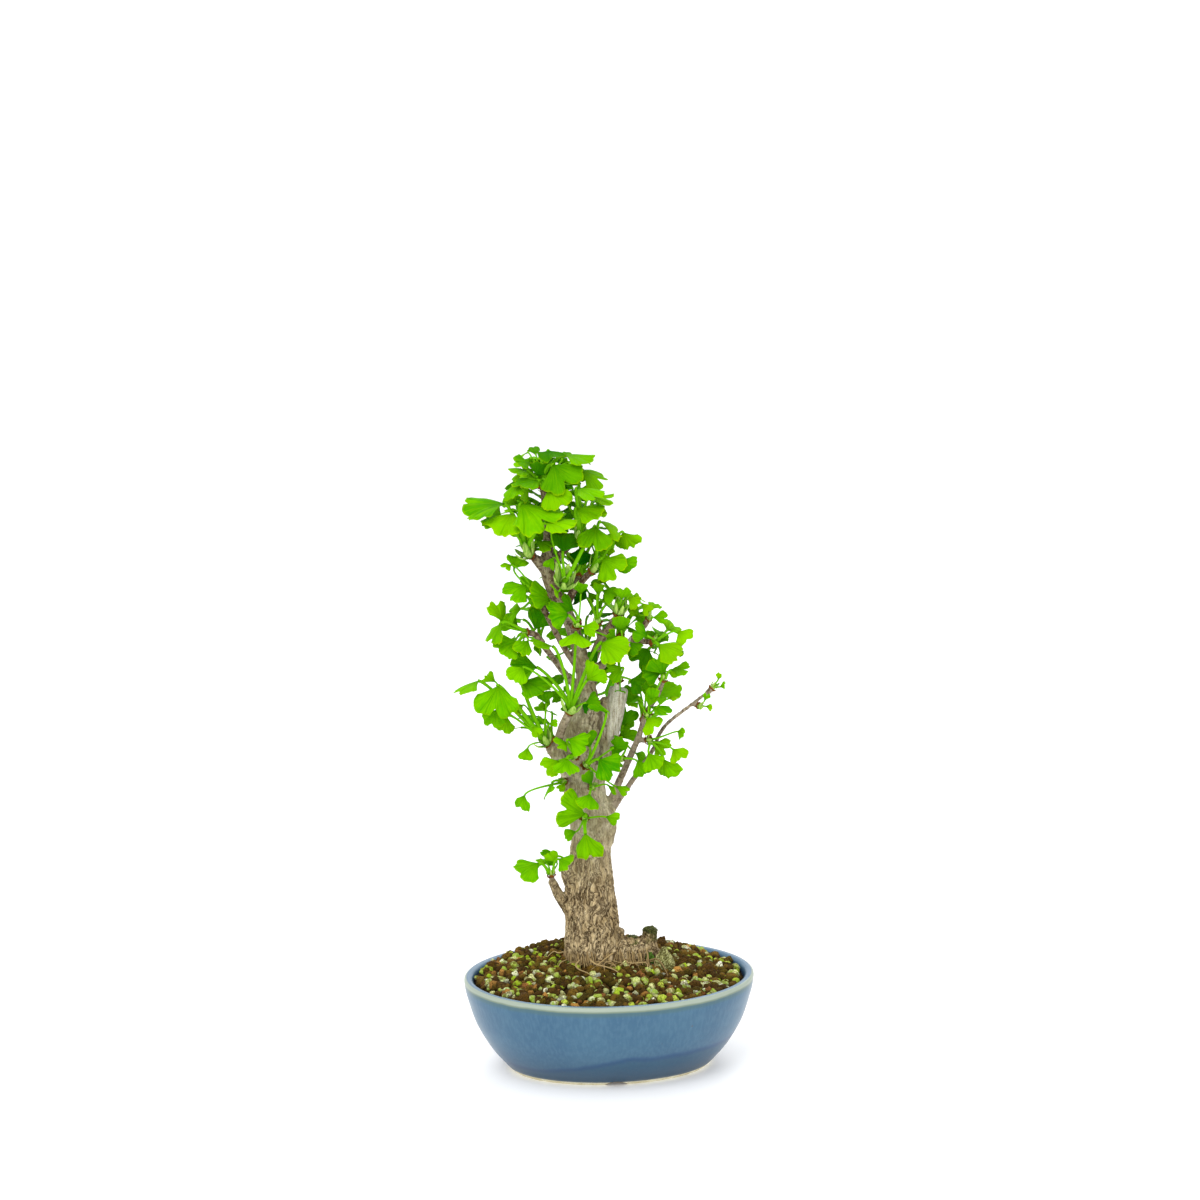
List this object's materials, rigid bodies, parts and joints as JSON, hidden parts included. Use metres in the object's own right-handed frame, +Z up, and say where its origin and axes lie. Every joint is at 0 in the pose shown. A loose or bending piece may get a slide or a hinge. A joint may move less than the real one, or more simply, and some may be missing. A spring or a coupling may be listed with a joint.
{
  "type": "ginkgo bonsai",
  "caption": "Ginkgo bonsai with a thick forked trunk, a cut stump and sprays of fan-shaped leaves, growing in a mound of granular soil in an oval glazed pot.",
  "frame": {"origin": "centre of the pot's foot ring, on the surface that the pot stands on", "axes": "+Z up, +X along the pot's long axis to the right as seen from the front, -Y towards the front"},
  "size_m": [0.2039, 0.1608, 0.4311],
  "materials": {
    "glaze": "gloss",
    "mesh_screen": "matte",
    "soil": "matte",
    "rock": "matte",
    "bark": "matte",
    "leaf": "satin"
  },
  "bodies": {
    "root": {"pot": "glaze", "drain_screen_left": "mesh_screen", "drain_screen_right": "mesh_screen", "soil": "soil", "stone": "rock", "tree": "bark", "spray_branch_bud": "leaf", "spray_centre_front": "leaf", "spray_centre_high": "leaf", "spray_centre_low": "leaf", "spray_crown_front": "leaf", "spray_crown_left": "leaf", "spray_crown_right": "leaf", "spray_crown_top": "leaf", "spray_fork_front": "leaf", "spray_fork_right": "leaf", "spray_leaning_node": "leaf", "spray_leaning_tip": "leaf", "spray_left_branch": "leaf", "spray_left_low": "leaf", "spray_middle_front": "leaf", "spray_rear_centre": "leaf", "spray_rear_crown": "leaf", "spray_rear_crown_left": "leaf", "spray_rear_left_branch": "leaf", "spray_rear_low": "leaf", "spray_rear_low_left": "leaf", "spray_rear_middle": "leaf", "spray_rear_right_branch": "leaf", "spray_rear_stem": "leaf", "spray_rear_upper": "leaf", "spray_rear_upper_right": "leaf", "spray_rear_upright": "leaf", "spray_right_branch": "leaf", "spray_right_outer": "leaf", "spray_right_upper": "leaf", "spray_stub_tip": "leaf", "spray_stump_rear": "leaf", "spray_stump_top": "leaf", "spray_trunk_front": "leaf", "spray_trunk_high": "leaf", "spray_trunk_left": "leaf", "spray_upper_left": "leaf", "spray_upper_right": "leaf", "spray_upright_low": "leaf", "spray_upright_middle": "leaf", "spray_upright_tip": "leaf"}
  },
  "joints": []
}
